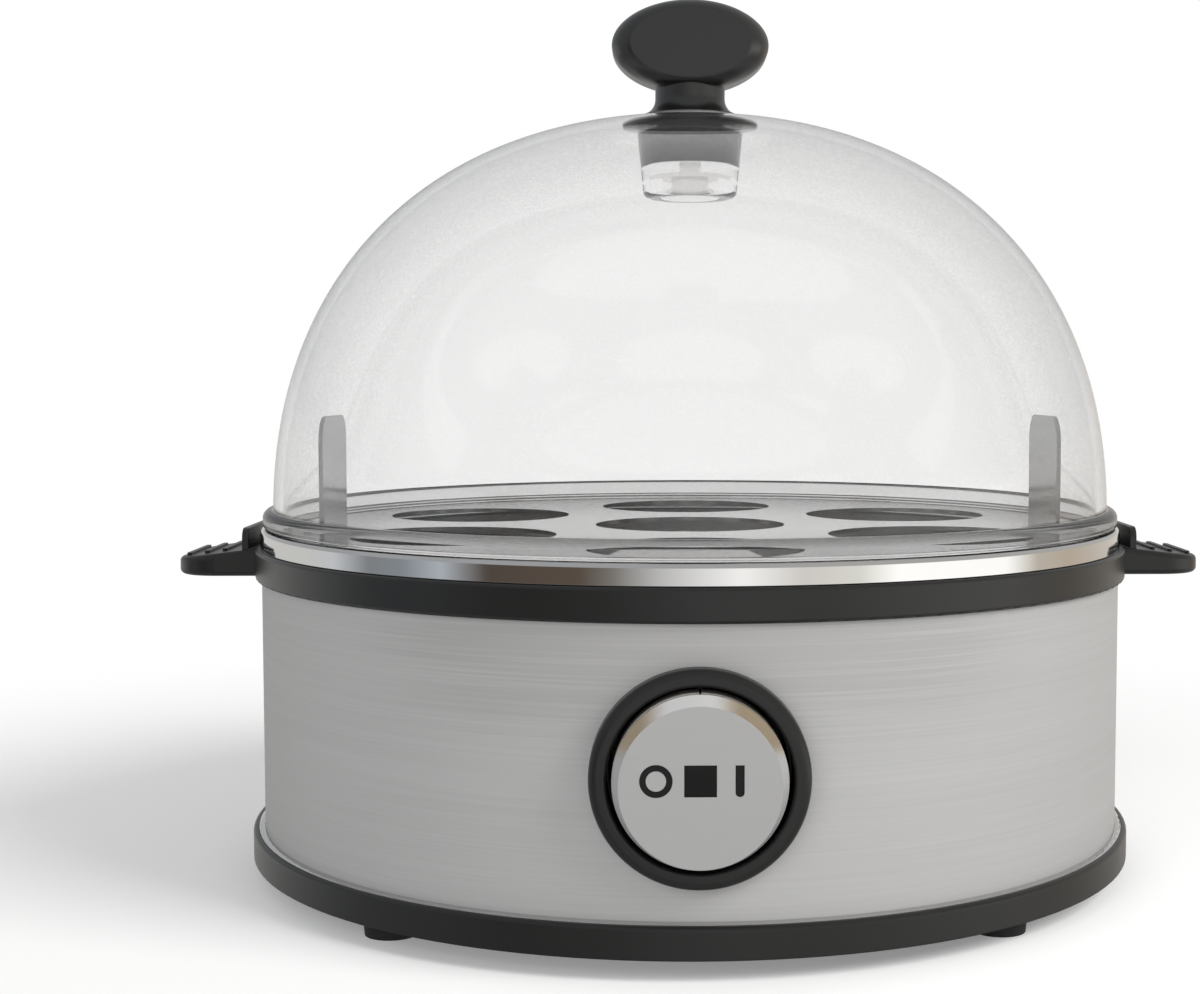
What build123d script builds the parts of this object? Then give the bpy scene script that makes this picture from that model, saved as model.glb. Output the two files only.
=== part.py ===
from build123d import *
import math
import os

# Electric egg cooker for seven eggs, in millimetres.
# +Z is up, the switch faces -Y, and the origin is on the ground under the middle of the body.

# Fits and sheet
seat = 0.1                    # gap between parts that slip into each other
screw_fit = 0.02              # gap round a screw in its pilot hole
body_gap = 0.25               # gap where the lid and the tray rest
sheet = 0.8                   # pressed steel sheet
cut_reach = 1.0               # how far a cut runs past a face

# Body shell, which the other round parts follow
body_radius = 82.0
shell_wall = 0.6
shell_shown = 46.95           # between the trim ring and the upper ring
shell_groove = 2.2            # depth of the shell's edge in the upper ring

# Screws
screw_radius = 1.5
screw_head_radius = 2.75
screw_head_height = 1.7
cross_width = 0.8
cross_length = 3.6
cross_depth = 0.8
casing_screw_grip = 8.0       # length in the post
pilot_spare = 6.0             # pilot hole beyond the casing screw

# Feet and bottom casing
foot_height = 3.6             # shown under the casing
foot_radius = 5.0
foot_taper = 0.4
foot_inset = 6.2              # from the shell's outside to the foot's middle
foot_angle = 47.4             # degrees from the handle line
foot_recess_gap = 0.45        # round the screw's head
foot_recess_spare = 0.8       # under the screw's head
casing_overhang = 2.2         # outside the shell
casing_height = 5.35          # outer wall
casing_lip = 1.0              # outer wall beside the trim ring
casing_corner = 0.75
floor_recess = 1.0
floor_thickness = 2.2
locating_rib_height = 4.0
locating_rib_wall = 1.4
vent_count = 12
vent_circle = 27.0
vent_width = 3.0
vent_length = 14.0
trim_rise = 0.3
trim_crown = 0.12

# Upper ring with handles
ring_overhang = 1.2           # outside the shell
ring_height = 5.6
ring_corner = 0.5
ring_web = 6.0                # reach inside the shell's outside
ring_skirt_wall = 1.4
gasket_recess = 0.8
post_radius = 3.0
handle_length = 16.0          # beyond the shell
handle_half_width = 13.0
handle_corner = 8.0
handle_root_height = 4.9
handle_tip_height = 3.3
handle_edge = 1.0
handle_rib_count = 3
handle_rib_pitch = 3.35
handle_rib_setback = 2.3      # from the tip
handle_rib_inset = 4.5        # from each side
handle_rib_width = 0.9
handle_rib_height = 0.5
guard_gap = 0.5               # outside the ring
guard_wall = 1.2
guard_inset = 1.0             # from each side of the handle
guard_height = 9.0            # above the ring's underside
guard_corner = 2.0

# Heating bowl
rim_height = 3.8              # above the upper ring
rim_overhang = 0.2            # outside the shell
rim_width = 2.3
rim_round = 1.1
ledge_rise = 1.0              # tray ledge above the upper ring
ledge_width = 4.9
bowl_depth = 12.3
bowl_wall_run = 10.0          # level run of the sloping wall
gasket_width = 1.9
tab_count = 3
tab_first_angle = 90.0
tab_width = 8.0
tab_foot = 2.0
tab_inset = 0.8               # from the web's inner edge

# Heater
plate_radius = 48.0
plate_thickness = 4.0
element_inset = 8.0           # from the plate's edge
element_radius = 3.25
element_sink = 2.65           # depth of the tube in the plate's groove
element_arc = 300.0
element_bend = 5.0
element_drop = 4.0
insulator_radius = 2.6
insulator_length = 3.0
pin_radius = 1.2
pin_length = 4.0
thermostat_radius = 8.0
thermostat_height = 6.0
thermostat_tab_width = 4.0
thermostat_tab_length = 5.0
thermostat_tab_rise = 1.5     # above the thermostat's underside
bracket_gap = 3.2             # beside the thermostat
bracket_width = 10.0
bracket_foot = 7.0
bracket_screw_reach = 4.4
heater_screw_radius = 1.5
heater_screw_length = 3.6
fuse_radius = 2.0
fuse_length = 12.0
fuse_place = 24.0             # behind the middle
fuse_lead_radius = 0.5
fuse_lead_length = 4.0
clip_wall = 0.6
clip_length = 6.0
clip_foot = 7.0

# Heat shield
shield_inset = 36.0           # from the shell's outside, which leaves room for the wires
shield_wall = 0.6
shield_lip = 3.0
shield_clearance = 7.8        # from the element's pins down to the shield's underside
shield_screw_inset = 6.0
shield_first_angle = 30.0
shield_count = 3
pillar_radius = 3.2
shield_screw_length = 7.0

# Switch, on an axis along Y
dial_height = 28.4            # above the casing's underside
bezel_radius = 17.25
bezel_wall = 2.75
bezel_rise = 3.2              # in front of the shell
bezel_round = 1.3
bezel_lip_round = 0.5
neck_wall = 1.4
neck_depth = 5.0              # behind the shell's outside
shell_hole_gap = 0.2
nut_width = 2.6
nut_thickness = 3.0
nut_notch_count = 6
nut_first_angle = 30.0
nut_notch_radius = 1.2
housing_depth = 17.0
housing_wall = 1.7
housing_floor = 1.6
cap_gap = 0.9                 # round the button
cap_rise = 1.0                # edge of the button in front of the bezel
cap_edge = 0.4
cap_bevel = 1.2
cap_bevel_width = 1.0
cap_bevel_drop = 0.65         # the bevel is widest at the top
cap_wall = 1.0
groove_width = 1.2
trim_length = 3.8
trim_wall = 0.7
trim_split = 0.35
pivot_setback = 5.6           # behind the bezel's front
pivot_radius = 1.0
pivot_clearance = 0.05
pivot_skin = 0.4              # left outside the pivot holes
pivot_end_gap = 0.2
carrier_behind = 3.6          # distances behind the pivot
rocker_boss_behind = 9.6
spring_behind = 1.4
plunger_behind = 6.2
contact_behind = 11.4
rocker_boss_radius = 3.0
lens_width = 5.0
lens_height = 4.9
lens_depth = 2.4
mark_rise = 0.5               # the signs sit a little above the middle
mark_depth = 0.45
mark_recess = 0.15
ring_mark_place = -6.8
ring_mark_radius = 2.55
bar_mark_place = 6.0
bar_mark_height = 4.9
mark_stroke = 1.0
bar_mark_width = 1.4
lamp_radius = 2.0
lamp_length = 5.0
plunger_radius = 1.5
plunger_contact_gap = 0.3
spring_radius = 1.1
spring_wire = 0.25
spring_turn_count = 5
contact_half_length = 6.5
contact_width = 4.0
contact_thickness = 1.0
contact_point_radius = 1.2
contact_point_height = 0.8
contact_point_place = 5.2
terminal_pitch = 6.0
terminal_width = 6.3
terminal_thickness = 0.8
terminal_tail = 8.0           # behind the housing
terminal_stop_gap = 1.4       # behind the contact points
terminal_fit = 0.05

# Mains side
gland_height = 15.0           # above the casing's underside
gland_neck_radius = 6.0
gland_flange_width = 1.5
gland_bore = 3.1
gland_depth = 8.0             # inside the shell's outside
gland_round = 1.0
block_width = 24.0
block_depth = 12.0
block_height = 11.0
block_setback = 26.0          # from the shell's outside
block_pitch = 8.0
block_screw_head = 2.0
block_screw_drop = 1.0
block_bore = 1.6
block_bore_height = 5.2       # above the casing's floor
wire_radius = 1.0

# Lid
lid_wall = 1.8
lid_gap = 0.4                 # inside the bowl's rim
lid_skirt_drop = 2.3
dome_step = 0.3               # dome wall outside the skirt
flange_inset = 0.5            # inside the bowl's rim
flange_height = 3.2
flange_round = 1.6
flange_edge = 0.5
dome_rise = 77.8
dome_exponent = 2.24
dome_point_count = 12
seat_flat = 0.25              # flat of the knob's seat under the crown
boss_radius = 10.0
boss_taper = 1.0
boss_depth = 15.0             # below the knob's seat
boss_web_depth = 8.4
boss_web = 2.0
boss_recess_radius = 6.5
stem_radius = 6.9
stem_clearance = 0.15
knob_seal_thickness = 0.7
knob_seal_inset = 0.2
knob_head_half_width = 15.0
knob_head_half_height = 8.55
knob_head_half_depth = 7.4
knob_head_height = 12.85      # middle of the head above the seal
knob_face_inset = 3.55
knob_face_drop = 1.95
knob_flat_half_depth = 3.0
knob_swell = 0.5              # fullness of the head's rounded border
knob_flare_width = 2.2
knob_waist_radius = 6.7
knob_waist_height = 3.0
knob_flare_hollow = 0.6
knob_screw_radius = 2.0
knob_screw_length = 16.0
knob_screw_head_radius = 3.6
knob_screw_head_height = 2.2
knob_washer_radius = 5.6
knob_washer_thickness = 0.8

# Egg tray
tray_gap = 2.5                # inside the bowl's rim
tray_edge_height = 1.9
egg_hole_radius = 18.5
egg_margin = 8.9              # between the outer holes and the tray's edge
egg_ring_count = 6
egg_first_angle = 30.0
lug_inset = 8.0
lug_half_width = 12.5
lug_height = 21.4
lug_corner = 5.0
lug_foot = 4.0

# Heights worked out from the sizes above
casing_bottom = foot_height
floor_bottom = casing_bottom + floor_recess
floor_top = floor_bottom + floor_thickness
casing_top = casing_bottom + casing_height
ring_bottom = casing_top + shell_shown
ring_top = ring_bottom + ring_height
web_bottom = ring_bottom + shell_groove
web_top = ring_top - gasket_recess
ledge_top = ring_top + ledge_rise
ledge_bottom = ledge_top - sheet
rim_top = ring_top + rim_height
bowl_floor_top = ledge_top - bowl_depth
bowl_floor_bottom = bowl_floor_top - sheet
plate_bottom = bowl_floor_bottom - plate_thickness
element_height = plate_bottom + element_sink - element_radius
element_end_height = element_height - element_bend - element_drop
pin_bottom = element_end_height - insulator_length - pin_length
shield_bottom = pin_bottom - shield_clearance
dial_z = casing_bottom + dial_height
gland_z = casing_bottom + gland_height
wire_height = floor_top + block_bore_height
lid_bottom = rim_top + body_gap
seat_height = lid_bottom + dome_rise - seat_flat
boss_bottom = seat_height - boss_depth
boss_web_top = seat_height - boss_web_depth
boss_web_bottom = boss_web_top - boss_web
knob_base = seat_height + knob_seal_thickness
knob_middle = knob_base + knob_head_height
tray_bottom = ledge_top + body_gap + tray_edge_height - sheet
tray_top = tray_bottom + sheet

# Radii worked out from the sizes above
shell_inner_radius = body_radius - shell_wall
casing_radius = body_radius + casing_overhang
trim_inner_radius = body_radius + seat / 2
trim_outer_radius = casing_radius - casing_lip - seat / 2
foot_circle = body_radius - foot_inset
foot_recess_radius = screw_head_radius + foot_recess_gap
foot_recess_depth = screw_head_height + foot_recess_spare
ring_radius = body_radius + ring_overhang
ring_inner_radius = body_radius - ring_web
handle_reach = body_radius + handle_length
guard_place = ring_radius + guard_gap
rim_radius = body_radius + rim_overhang
rim_inner_radius = rim_radius - rim_width
ledge_inner_radius = rim_inner_radius - ledge_width
bowl_floor_radius = ledge_inner_radius - bowl_wall_run
tab_radius = ring_inner_radius + tab_inset
element_circle = plate_radius - element_inset
thermostat_tab_reach = thermostat_radius + thermostat_tab_length
bracket_inner_half = thermostat_radius + bracket_gap
heater_screw_place = bracket_inner_half + bracket_screw_reach
fuse_lead_reach = fuse_length / 2 + fuse_lead_length
shield_radius = body_radius - shield_inset
shield_circle = shield_radius - shield_screw_inset
lid_skirt_radius = rim_inner_radius - lid_gap
lid_radius = lid_skirt_radius + dome_step
lid_inner_radius = lid_radius - lid_wall
flange_radius = rim_radius - flange_inset
knob_flare_radius = stem_radius + knob_flare_width
tray_radius = rim_inner_radius - tray_gap
egg_circle = tray_radius - egg_margin - egg_hole_radius
lug_place = tray_radius - lug_inset

# Switch and mains places, as distances from the body's axis
bezel_front = body_radius + bezel_rise
bezel_bore = bezel_radius - bezel_wall
neck_radius = bezel_bore + neck_wall
neck_back = body_radius - neck_depth
nut_radius = neck_radius + nut_width
nut_front = math.sqrt(shell_inner_radius ** 2 - nut_radius ** 2) - seat
housing_back = neck_back - housing_depth
housing_bore = neck_radius - housing_wall
cap_radius = bezel_bore - cap_gap
cap_edge_front = bezel_front + cap_rise
cap_face = cap_edge_front + cap_bevel
trim_front = cap_edge_front - cap_edge - groove_width
trim_back = trim_front - trim_length
pivot_place = bezel_front - pivot_setback
pivot_hole_reach = neck_radius - pivot_skin
pivot_reach = pivot_hole_reach - pivot_end_gap
carrier_back = pivot_place - carrier_behind
rocker_boss_back = pivot_place - rocker_boss_behind
spring_front = pivot_place - spring_behind
plunger_front = pivot_place - plunger_behind
plunger_bore = plunger_radius + seat
contact_front = pivot_place - contact_behind
contact_back = contact_front - contact_thickness
plunger_tip = contact_front + plunger_contact_gap
terminal_stop = contact_back - contact_point_height - terminal_stop_gap
terminal_end = housing_back - terminal_tail
gland_back = body_radius - gland_depth
gland_flange_radius = gland_neck_radius + gland_flange_width
block_front = body_radius - block_setback
block_middle = block_front + block_depth / 2
mark_height = dial_z + mark_rise
terminal_places = (-terminal_pitch, 0.0, terminal_pitch)
block_places = (-block_pitch, 0.0, block_pitch)


def upright(radius, low, high, x=0, y=0):
    """Round bar along Z."""
    return Pos(x, y, low) * Cylinder(radius, high - low, align=(Align.CENTER, Align.CENTER, Align.MIN))


def along_y(radius, front, back, x=0, z=0):
    """Round bar along Y between two distances in front of the body's axis."""
    length = front - back
    bar = Cylinder(radius, length, align=(Align.CENTER, Align.CENTER, Align.MIN))
    return Pos(x, -front, z) * Rot(-90, 0, 0) * bar


def along_x(radius, low, high, y, z):
    """Round bar along X."""
    bar = Cylinder(radius, high - low, align=(Align.CENTER, Align.CENTER, Align.MIN))
    return Pos(low, y, z) * Rot(0, 90, 0) * bar


def block(low, high):
    """Box between two corners."""
    size = [b - a for a, b in zip(low, high)]
    return Pos(*low) * Box(*size, align=(Align.MIN, Align.MIN, Align.MIN))


def turned(*points):
    """Body of revolution about Z from (radius, height) points."""
    outline = Polyline(*[(radius, 0, height) for radius, height in points], close=True)
    return revolve(make_face(outline), Axis.Z)


def rim_edges(solid, radius, height):
    """Round edges of one radius at one height."""
    def matches(edge):
        if edge.geom_type != GeomType.CIRCLE:
            return False
        return abs(edge.radius - radius) < 0.01 and abs(edge.arc_center.Z - height) < 0.01
    return solid.edges().filter_by(matches)


def front_edges(solid, radius, distance):
    """Round edges of one radius at one distance in front of the body's axis."""
    def matches(edge):
        if edge.geom_type != GeomType.CIRCLE:
            return False
        return abs(edge.radius - radius) < 0.01 and abs(edge.arc_center.Y + distance) < 0.01
    return solid.edges().filter_by(matches)


def round_places(radius, angles):
    """Points on a circle about Z."""
    return [(radius * math.cos(math.radians(a)), radius * math.sin(math.radians(a))) for a in angles]


def spaced_angles(count, first):
    """Even angles round a full turn."""
    return [first + 360 * i / count for i in range(count)]


def foot_places():
    """The four corners where feet, casing screws and posts stand."""
    angles = (foot_angle, 180 - foot_angle, 180 + foot_angle, 360 - foot_angle)
    return round_places(foot_circle, angles)


def screw(shank_radius, length, head_radius=screw_head_radius, head_height=screw_head_height):
    """Screw that points up from the underside of its head at height 0, with a cross recess."""
    body = upright(head_radius, -head_height, 0) + upright(shank_radius, 0, length)
    half_long = cross_length / 2
    half_wide = cross_width / 2
    for half_x, half_y in ((half_long, half_wide), (half_wide, half_long)):
        body -= block((-half_x, -half_y, -head_height), (half_x, half_y, cross_depth - head_height))
    return body


def group(solids):
    """Several separate solids of one node."""
    return Compound(children=list(solids))


def save(name, shape):
    """One STEP file for one node."""
    export_step(shape, f"parts/{name}.step")


# Bottom casing, feet and screws

def bottom_casing():
    """Black floor with the lower ring as its wall, vents, and pillars for the heat shield."""
    rib_outer = shell_inner_radius - seat
    rib_inner = rib_outer - locating_rib_wall
    rib_top = floor_top + locating_rib_height
    wall_inner = casing_radius - casing_lip
    body = turned(
        (0, floor_bottom), (rib_outer, floor_bottom), (rib_outer, casing_bottom),
        (casing_radius, casing_bottom), (casing_radius, casing_top), (wall_inner, casing_top),
        (wall_inner, floor_top), (rib_outer, floor_top), (rib_outer, rib_top),
        (rib_inner, rib_top), (rib_inner, floor_top), (0, floor_top))
    body = fillet(rim_edges(body, casing_radius, casing_top), casing_corner)
    for x, y in foot_places():
        body -= upright(screw_radius + seat, floor_bottom, floor_top, x, y)
    for angle in spaced_angles(vent_count, 0):
        slot = extrude(SlotOverall(vent_length, vent_width), floor_thickness)
        body -= Rot(0, 0, angle) * Pos(vent_circle, 0, floor_bottom) * slot
    pilot_low = shield_bottom - shield_screw_length
    for x, y in round_places(shield_circle, spaced_angles(shield_count, shield_first_angle)):
        body += upright(pillar_radius, floor_top, shield_bottom, x, y)
        body -= upright(screw_radius + screw_fit, pilot_low, shield_bottom, x, y)
    return body


def rubber_foot(x, y):
    """Tapered foot with a recess that hides the casing screw."""
    foot = turned((0, 0), (foot_radius - foot_taper, 0), (foot_radius, floor_bottom), (0, floor_bottom))
    foot -= upright(foot_recess_radius, 0, foot_recess_depth)
    foot -= upright(screw_radius + seat, foot_recess_depth, floor_bottom)
    return Pos(x, y, 0) * foot


def casing_screw(x, y):
    """Screw from a foot's recess up into a post of the upper ring."""
    length = floor_top - foot_recess_depth + casing_screw_grip
    return Pos(x, y, foot_recess_depth) * screw(screw_radius, length)


# Body shell and trim

def body_shell():
    """Brushed steel cylinder with the switch hole in front and the cord hole behind."""
    top = web_bottom
    shell = upright(body_radius, floor_top, top) - upright(shell_inner_radius, floor_top, top)
    shell -= along_y(neck_radius + shell_hole_gap, body_radius + cut_reach, housing_back, 0, dial_z)
    shell -= along_y(gland_neck_radius + seat, 0, -body_radius - cut_reach, 0, gland_z)
    return shell


def base_trim_ring():
    """Polished ring with a crowned top on the ledge of the bottom casing."""
    inner_top = casing_top + trim_rise
    middle = ((trim_inner_radius + trim_outer_radius) / 2, casing_top + trim_rise / 2 + trim_crown)
    crown = ThreePointArc((trim_outer_radius, 0, casing_top), (middle[0], 0, middle[1]),
                          (trim_inner_radius, 0, inner_top))
    sides = Polyline((trim_inner_radius, 0, inner_top), (trim_inner_radius, 0, floor_top),
                     (trim_outer_radius, 0, floor_top), (trim_outer_radius, 0, casing_top))
    return revolve(make_face([crown, sides]), Axis.Z)


# Upper ring with handles

def handle():
    """One side handle on +X: sloping grip with ribs and an upright guard."""
    inner = ring_inner_radius + ring_skirt_wall
    root = guard_place + guard_wall
    side = Polyline(
        (inner, 0, ring_bottom), (handle_reach, 0, ring_bottom),
        (handle_reach, 0, ring_bottom + handle_tip_height),
        (root, 0, ring_bottom + handle_root_height),
        (inner, 0, ring_bottom + handle_root_height), close=True)
    grip = extrude(make_face(side), handle_half_width, dir=(0, 1, 0), both=True)
    tip_corners = grip.edges().filter_by(Axis.Z).group_by(Axis.X)[-1]
    grip = fillet(tip_corners, handle_corner)
    grip -= upright(ring_radius - ring_corner, ring_bottom, ring_top)
    outside = grip.edges().filter_by(lambda edge: edge.center().X > root + handle_edge)
    level = outside.filter_by(lambda edge: abs(edge.tangent_at(0.5).Z) < 0.5)
    grip = fillet(level, handle_edge)
    slope = (handle_root_height - handle_tip_height) / (handle_reach - root)
    rib_length = 2 * (handle_half_width - handle_rib_inset)
    for i in range(handle_rib_count):
        place = handle_reach - handle_rib_setback - i * handle_rib_pitch
        top = ring_bottom + handle_root_height - slope * (place - root)
        rib = extrude(SlotOverall(rib_length, handle_rib_width), 2 * handle_rib_height)
        grip += Pos(place, 0, top - handle_rib_height) * Rot(0, 0, 90) * rib
    guard_low = ring_bottom + handle_root_height / 2
    half = handle_half_width - guard_inset
    guard = block((guard_place, -half, guard_low), (root, half, ring_bottom + guard_height))
    guard = fillet(guard.edges().filter_by(Axis.X).group_by(Axis.Z)[-1], guard_corner)
    return grip + guard


def upper_ring():
    """Black ring with posts down to the casing, two handles and slots for the bowl's tabs."""
    groove_outer = body_radius + seat
    groove_inner = shell_inner_radius - seat
    skirt_inner = groove_inner - ring_skirt_wall
    ring = turned(
        (ring_radius, ring_bottom), (ring_radius, ring_top), (groove_inner, ring_top),
        (groove_inner, web_top), (ring_inner_radius, web_top), (ring_inner_radius, web_bottom),
        (skirt_inner, web_bottom), (skirt_inner, ring_bottom), (groove_inner, ring_bottom),
        (groove_inner, web_bottom), (groove_outer, web_bottom), (groove_outer, ring_bottom))
    ring = fillet(rim_edges(ring, ring_radius, ring_top) + rim_edges(ring, ring_radius, ring_bottom),
                  ring_corner)
    pilot_top = floor_top + casing_screw_grip + pilot_spare
    for x, y in foot_places():
        ring += upright(post_radius, floor_top, web_bottom + seat, x, y)
        ring -= upright(screw_radius + screw_fit, floor_top, pilot_top, x, y)
    ring += handle()
    ring += Rot(0, 0, 180) * handle()
    slot = block((tab_radius - seat, -tab_width / 2 - seat, web_bottom),
                 (tab_radius + sheet + seat, tab_width / 2 + seat, web_top))
    for angle in spaced_angles(tab_count, tab_first_angle):
        ring -= Rot(0, 0, angle) * slot
    return ring


# Heating bowl and how it is held

def heating_bowl():
    """Pressed water bowl: rolled rim, tray ledge, sloping wall and flat floor."""
    fall = ledge_top - bowl_floor_top
    run = ledge_inner_radius - bowl_floor_radius
    corner_shift = sheet * math.tan(math.atan2(fall, run) / 2)
    skirt_inner = rim_radius - sheet
    step_outer = rim_inner_radius + sheet
    bowl = turned(
        (rim_radius, ring_top), (rim_radius, rim_top), (rim_inner_radius, rim_top),
        (rim_inner_radius, ledge_top), (ledge_inner_radius, ledge_top),
        (bowl_floor_radius, bowl_floor_top), (0, bowl_floor_top), (0, bowl_floor_bottom),
        (bowl_floor_radius + corner_shift, bowl_floor_bottom),
        (ledge_inner_radius + corner_shift, ledge_bottom), (step_outer, ledge_bottom),
        (step_outer, rim_top - sheet), (skirt_inner, rim_top - sheet), (skirt_inner, ring_top))
    bowl = fillet(rim_edges(bowl, rim_radius, rim_top), rim_round)
    return fillet(rim_edges(bowl, rim_inner_radius, rim_top), sheet / 2)


def bowl_gasket():
    """Silicone ring under the bowl's ledge."""
    outer = rim_inner_radius - seat
    inner = outer - gasket_width
    return upright(outer, web_top, ledge_bottom) - upright(inner, web_top, ledge_bottom)


def bowl_tab(angle):
    """Steel tab through the upper ring, bent under its web."""
    half = tab_width / 2
    leg = block((tab_radius, -half, web_bottom - sheet), (tab_radius + sheet, half, ledge_bottom))
    foot = block((tab_radius, -half, web_bottom - sheet), (tab_radius + tab_foot, half, web_bottom))
    return Rot(0, 0, angle) * (leg + foot)


# Heater

def element_path():
    """Centre line of the tubular element: a long arc with both ends bent down."""
    first = math.radians(90 + (360 - element_arc) / 2)
    start = Vector(element_circle * math.cos(first), element_circle * math.sin(first), element_height)
    end = Vector(-start.X, start.Y, start.Z)
    ring = ThreePointArc(start, (0, -element_circle, element_height), end)
    edges = [ring]
    for point, side in ((start, 1), (end, -1)):
        outward = Vector(side * math.sin(first), -math.cos(first), 0)
        down = Vector(0, 0, -1)
        middle = point + outward * (element_bend * math.sin(math.pi / 4)) \
            + down * (element_bend * (1 - math.cos(math.pi / 4)))
        corner = point + outward * element_bend + down * element_bend
        edges.append(ThreePointArc(point, middle, corner))
        edges.append(Line(corner, corner + down * element_drop))
    return Wire(edges)


def element_ends():
    """Lower ends of the element's two cold legs."""
    first = math.radians(90 + (360 - element_arc) / 2)
    x = element_circle * math.cos(first) + element_bend * math.sin(first)
    y = element_circle * math.sin(first) - element_bend * math.cos(first)
    return [(x, y), (-x, y)]


def heating_element():
    """Tubular heating element."""
    path = element_path()
    start = path @ 0
    return sweep(Plane(start, z_dir=path % 0) * Circle(element_radius), path)


def heater_plate():
    """Aluminium plate with a groove for the element and threaded screw holes."""
    plate = upright(plate_radius, plate_bottom, bowl_floor_bottom)
    groove = Torus(element_circle, element_radius + screw_fit)
    plate -= Pos(0, 0, element_height) * groove
    for x, y in heater_screw_points():
        plate -= upright(heater_screw_radius + screw_fit, plate_bottom,
                         plate_bottom + heater_screw_length - sheet + screw_fit, x, y)
    return plate


def heater_screw_points():
    """Two bracket screws and one clip screw."""
    clip_screw = (0, fuse_place - fuse_radius - clip_wall - clip_foot / 2)
    return [(heater_screw_place, 0), (-heater_screw_place, 0), clip_screw]


def heater_screw(x, y, under):
    """Screw through a foot of sheet into the heater plate."""
    return Pos(x, y, plate_bottom - under) * screw(heater_screw_radius, heater_screw_length - sheet + under)


def heater_screws():
    """All three screws of the heater plate."""
    points = heater_screw_points()
    return [heater_screw(*points[0], sheet), heater_screw(*points[1], sheet),
            heater_screw(*points[2], clip_wall)]


def thermostat():
    """Disc thermostat with two connector tabs."""
    low = plate_bottom - thermostat_height
    body = upright(thermostat_radius, low, plate_bottom)
    half = thermostat_tab_width / 2
    tab_low = low + thermostat_tab_rise
    tabs = block((-half, -thermostat_tab_reach, tab_low), (half, thermostat_tab_reach, tab_low + sheet))
    return body + tabs


def thermostat_bracket():
    """Bent strap that presses the thermostat against the plate."""
    low = plate_bottom - thermostat_height - sheet
    half = bracket_width / 2
    inner = bracket_inner_half
    outer = inner + sheet
    strap = block((-outer, -half, low), (outer, half, low + sheet))
    for side in (-1, 1):
        leg = block((min(side * inner, side * outer), -half, low),
                    (max(side * inner, side * outer), half, plate_bottom))
        far = side * (inner + bracket_foot)
        foot = block((min(side * inner, far), -half, plate_bottom - sheet),
                     (max(side * inner, far), half, plate_bottom))
        strap += leg + foot
        strap -= upright(heater_screw_radius + seat, plate_bottom - sheet, plate_bottom,
                         side * heater_screw_place, 0)
    return strap


def fuse_axis_height():
    """The fuse lies against the plate."""
    return plate_bottom - fuse_radius


def thermal_fuse():
    """Thermal fuse with a lead at each end."""
    z = fuse_axis_height() - screw_fit
    body = along_x(fuse_radius, -fuse_length / 2, fuse_length / 2, fuse_place, z)
    return body + along_x(fuse_lead_radius, -fuse_lead_reach, fuse_lead_reach, fuse_place, z)


def fuse_clip():
    """Saddle clip round the fuse with a screwed foot."""
    z = fuse_axis_height()
    half = clip_length / 2
    outer = fuse_radius + clip_wall
    inner = fuse_radius + screw_fit
    clip = along_x(outer, -half, half, fuse_place, z)
    clip -= block((-half, fuse_place - outer, z), (half, fuse_place + outer, z + outer))
    clip += block((-half, fuse_place - outer, z), (half, fuse_place + outer, plate_bottom))
    clip += block((-half, fuse_place - outer - clip_foot, plate_bottom - clip_wall),
                  (half, fuse_place, plate_bottom))
    clip -= along_x(inner, -half, half, fuse_place, z)
    clip -= block((-half, fuse_place - inner, z), (half, fuse_place + inner, plate_bottom))
    x, y = heater_screw_points()[2]
    clip -= upright(heater_screw_radius + seat, plate_bottom - clip_wall, plate_bottom, x, y)
    return clip


def heat_shield():
    """Shallow steel dish between heater and wiring."""
    lip_top = shield_bottom + shield_lip
    shield = turned(
        (0, shield_bottom), (shield_radius - shield_wall, shield_bottom), (shield_radius, shield_bottom),
        (shield_radius, lip_top), (shield_radius - shield_wall, lip_top),
        (shield_radius - shield_wall, shield_bottom + shield_wall), (0, shield_bottom + shield_wall))
    for x, y in round_places(shield_circle, spaced_angles(shield_count, shield_first_angle)):
        shield -= upright(screw_radius + seat, shield_bottom, shield_bottom + shield_wall, x, y)
    return shield


def shield_screw(x, y):
    """Screw down through the shield into its pillar."""
    return Pos(x, y, shield_bottom + shield_wall) * Rot(180, 0, 0) * screw(screw_radius, shield_screw_length)


# Switch

def switch_bezel():
    """Thick round bezel that fits the curved shell, with the neck that holds the rocker's pivots."""
    bezel = along_y(bezel_radius, bezel_front, neck_back, 0, dial_z)
    bezel = fillet(front_edges(bezel, bezel_radius, bezel_front), bezel_round)
    bezel -= upright(body_radius + seat / 2, casing_bottom, ring_bottom)
    bezel += along_y(neck_radius, body_radius + seat, neck_back, 0, dial_z)
    bezel -= along_y(bezel_bore, bezel_front, neck_back, 0, dial_z)
    bezel = fillet(front_edges(bezel, bezel_bore, bezel_front), bezel_lip_round)
    bezel -= upright(pivot_radius + pivot_clearance, dial_z - pivot_hole_reach,
                     dial_z + pivot_hole_reach, 0, -pivot_place)
    return bezel


def switch_nut():
    """Notched ring nut on the bezel's neck, behind the shell."""
    back = nut_front - nut_thickness
    nut = along_y(nut_radius, nut_front, back, 0, dial_z)
    nut -= along_y(neck_radius + seat, nut_front, back, 0, dial_z)
    for angle in spaced_angles(nut_notch_count, nut_first_angle):
        x = nut_radius * math.cos(math.radians(angle))
        z = nut_radius * math.sin(math.radians(angle))
        nut -= along_y(nut_notch_radius, nut_front, back, x, dial_z + z)
    return nut


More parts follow.
